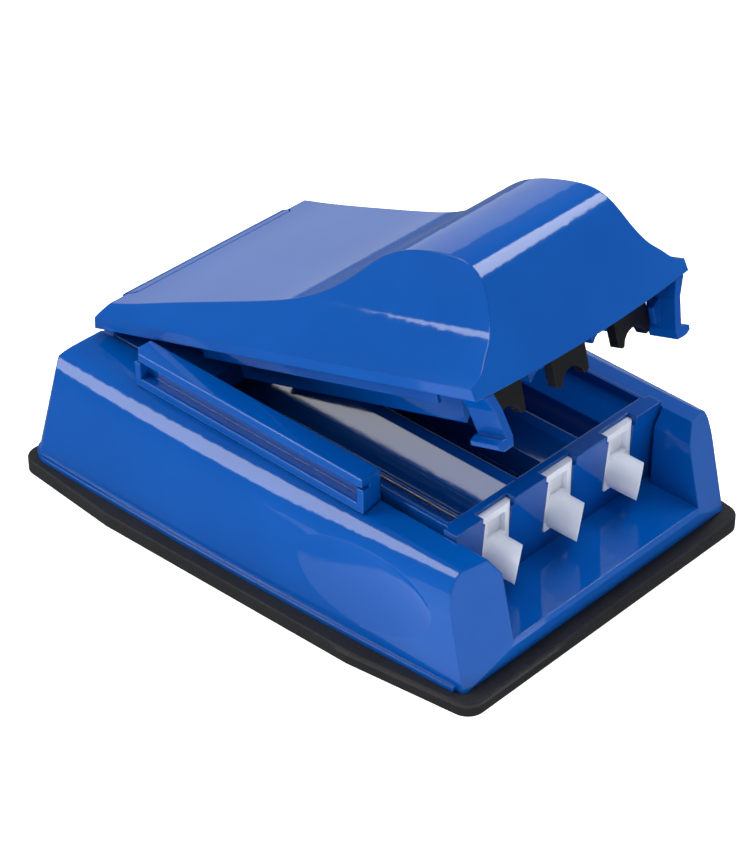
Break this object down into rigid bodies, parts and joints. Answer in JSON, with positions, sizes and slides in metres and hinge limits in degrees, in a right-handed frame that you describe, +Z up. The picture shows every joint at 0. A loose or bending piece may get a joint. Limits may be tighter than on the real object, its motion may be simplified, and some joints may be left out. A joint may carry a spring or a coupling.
{
  "type": "three tube cigarette filling machine",
  "caption": "Hand filling machine: blue case on a rubber mat, tobacco hopper with nozzles in a row, sliding spoons moved by a side grip, and a hinged pressing lid.",
  "frame": {"origin": "centre of the mat's footprint, on its underside", "axes": "+Z up, -Y towards the nozzles (front), +X to the right seen from the front with +Z up"},
  "size_m": [0.0982, 0.125, 0.0818],
  "materials": {
    "mat_rubber": "matt, finely grained",
    "blue_case": "moulded, semi-gloss royal blue",
    "blue_lid": "moulded, semi-gloss royal blue",
    "blue_hopper": "moulded, satin dark blue",
    "black_plastic": "matt",
    "black_rubber": "smooth, soft",
    "nozzle_clear": "milky translucent",
    "steel_sheet": "drawn",
    "zinc_screw": "zinc plated"
  },
  "bodies": {
    "base": {"anti_slip_mat": "mat_rubber", "base_case": "blue_case", "bottom_plate": "black_plastic", "base_screws": "zinc_screw", "hopper": "blue_hopper", "hopper_screws": "zinc_screw", "nozzle_left": "nozzle_clear", "nozzle_middle": "nozzle_clear", "nozzle_right": "nozzle_clear", "hinge_rod": "steel_sheet"},
    "slide": {"slide_yoke": "steel_sheet", "spoon_left": "steel_sheet", "spoon_middle": "steel_sheet", "spoon_right": "steel_sheet", "spoon_plug_left": "black_plastic", "spoon_plug_middle": "black_plastic", "spoon_plug_right": "black_plastic", "spoon_screws": "zinc_screw", "side_grip": "blue_case", "grip_screws": "zinc_screw"},
    "lid": {"lid_shell": "blue_lid", "hinge_cover": "blue_lid", "press_frame": "blue_hopper", "frame_screws": "zinc_screw", "lid_hook_left": "blue_hopper", "lid_hook_right": "blue_hopper", "tube_clamp_left": "black_rubber", "tube_clamp_middle": "black_rubber", "tube_clamp_right": "black_rubber"}
  },
  "joints": [
    {"name": "lid_hinge", "type": "hinge", "parent": "base", "child": "lid", "pos_m": [0, 0.0526, 0.0329], "axis": [-1, 0, 0], "range_deg": [-16.8, 63]},
    {"name": "spoon_slide", "type": "slide", "parent": "base", "child": "slide", "axis": [0, -1, 0], "range_m": [0, 0.06]}
  ]
}
